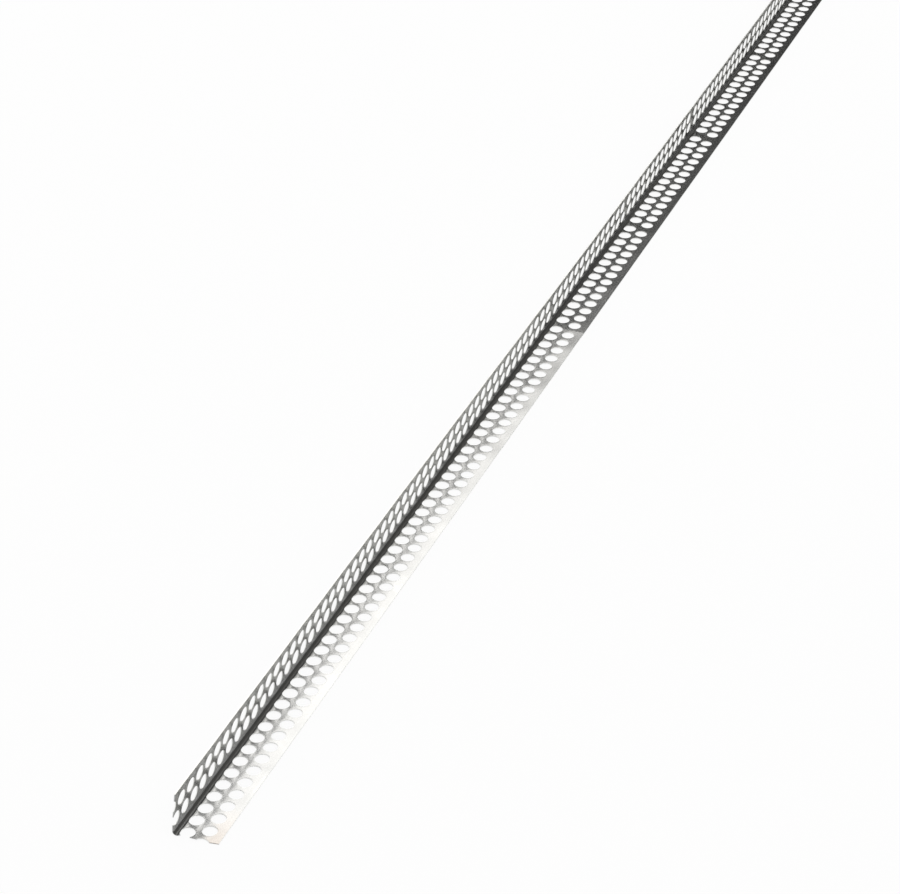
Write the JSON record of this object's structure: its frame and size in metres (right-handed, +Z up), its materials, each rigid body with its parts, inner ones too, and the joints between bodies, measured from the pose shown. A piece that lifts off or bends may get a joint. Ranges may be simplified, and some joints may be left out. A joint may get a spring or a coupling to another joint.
{
  "type": "drywall corner bead",
  "caption": "Long perforated sheet-metal angle with a rolled round nose, fixed over an outside plasterboard corner to make a straight, hard edge.",
  "frame": {"origin": "bottom centre of the bounding box, midway along the bead, as it lies unheld on a level floor", "axes": "+Y along the bead away from the end that the picture shows, +X across the flat flange towards its free edge, +Z up"},
  "size_m": [0.0242, 2, 0.0258],
  "materials": {
    "corner_bead": "bare rolled mill finish"
  },
  "bodies": {
    "root": {"corner_bead": "corner_bead"}
  },
  "joints": []
}
